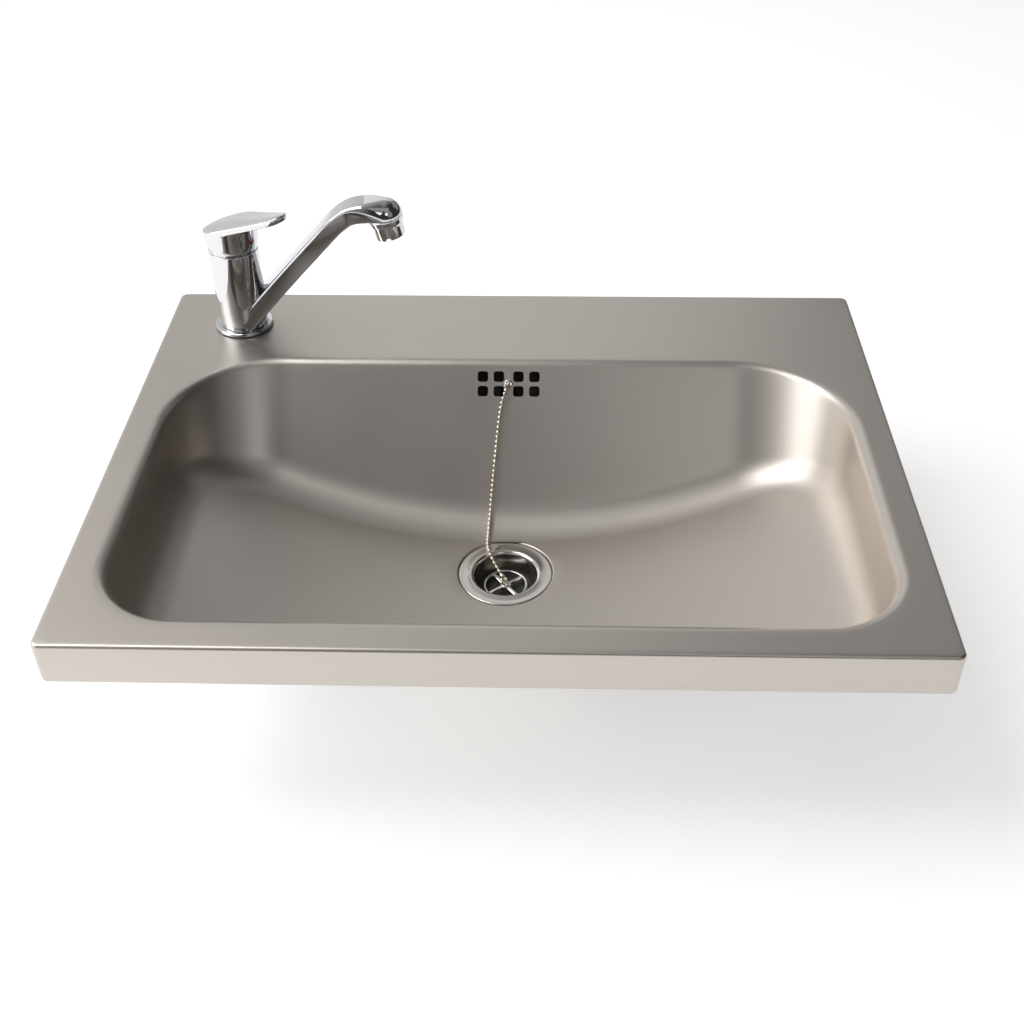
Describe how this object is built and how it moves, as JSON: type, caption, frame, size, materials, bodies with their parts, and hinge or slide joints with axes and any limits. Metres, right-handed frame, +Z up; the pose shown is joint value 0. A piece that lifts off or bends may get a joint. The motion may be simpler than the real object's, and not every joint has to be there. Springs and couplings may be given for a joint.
{
  "type": "hand sink",
  "caption": "Rectangular pressed-steel hand sink with a trough bowl, overflow, lift-out plug on a ball chain and a single-lever swivel tap on its back ledge.",
  "frame": {"origin": "centre of the flat back edge that stands against the wall", "axes": "+X to the right along the wall, +Y into the wall, +Z up"},
  "size_m": [0.6, 0.45, 0.3012],
  "materials": {
    "sheet_steel": "satin, fine even grain",
    "plate_steel": "zinc-plated, dull",
    "polished_steel": "polished",
    "tap_chrome": "mirror chrome",
    "chain_nickel": "nickel-plated, slightly warm",
    "tap_brass": "machined",
    "black_rubber": "matte",
    "grey_rubber": "matte",
    "white_plastic": "moulded",
    "grey_plastic": "moulded",
    "pad_grey": "matte",
    "indicator": "glossy, red and blue halves"
  },
  "bodies": {
    "sink": {"basin": "sheet_steel", "tap_plate": "plate_steel", "wall_rail": "plate_steel", "sound_pads": "pad_grey", "waste_flange": "polished_steel", "flange_seal": "grey_rubber", "waste_seal": "black_rubber", "waste_body": "white_plastic", "waste_screw": "polished_steel", "chain_eye_screw": "polished_steel", "chain_clasp_top": "chain_nickel", "ball_chain": "chain_nickel", "overflow_seal": "black_rubber", "overflow_box": "white_plastic", "overflow_pipe": "white_plastic", "union_nuts": "white_plastic", "union_washers": "black_rubber", "tap_base_seal": "black_rubber", "tap_base_ring": "tap_chrome", "slip_bush": "grey_plastic", "tap_core": "tap_brass", "spout_seals": "black_rubber", "collar_ring": "tap_chrome", "cartridge_housing": "grey_plastic", "cartridge_nut": "tap_brass", "dome_ring": "tap_chrome", "fixing_stud": "plate_steel", "shoe_rubber": "black_rubber", "shoe_plate": "plate_steel", "fixing_nut": "tap_brass"},
    "plug": {"plug_cage": "polished_steel", "plug_stopper": "black_rubber", "plug_screw": "polished_steel", "chain_clasp_low": "chain_nickel"},
    "spout": {"spout_shell": "tap_chrome", "aerator_housing": "tap_chrome", "aerator_insert": "grey_plastic", "aerator_washer": "grey_rubber"},
    "turret": {"cartridge_turret": "grey_plastic"},
    "lever": {"lever": "tap_chrome", "cartridge_stem": "plate_steel", "grub_screw": "plate_steel", "lever_indicator": "indicator"}
  },
  "joints": [
    {"name": "plug_lift", "type": "slide", "parent": "sink", "child": "plug", "axis": [0, 0, 1], "range_m": [0, 0.03], "deforming": ["ball_chain"]},
    {"name": "spout_swivel", "type": "hinge", "parent": "sink", "child": "spout", "pos_m": [-0.2325, -0.0528, 0.017], "axis": [0, 0, 1], "range_deg": [-112, 8]},
    {"name": "lever_turn", "type": "hinge", "parent": "sink", "child": "turret", "pos_m": [-0.2325, -0.0528, 0.0965], "axis": [0, 0, 1], "range_deg": [-45, 45]},
    {"name": "lever_lift", "type": "hinge", "parent": "turret", "child": "lever", "pos_m": [-0.2325, -0.0528, 0.0965], "axis": [-0.5299, -0.848, 0], "range_deg": [0, 16]}
  ]
}
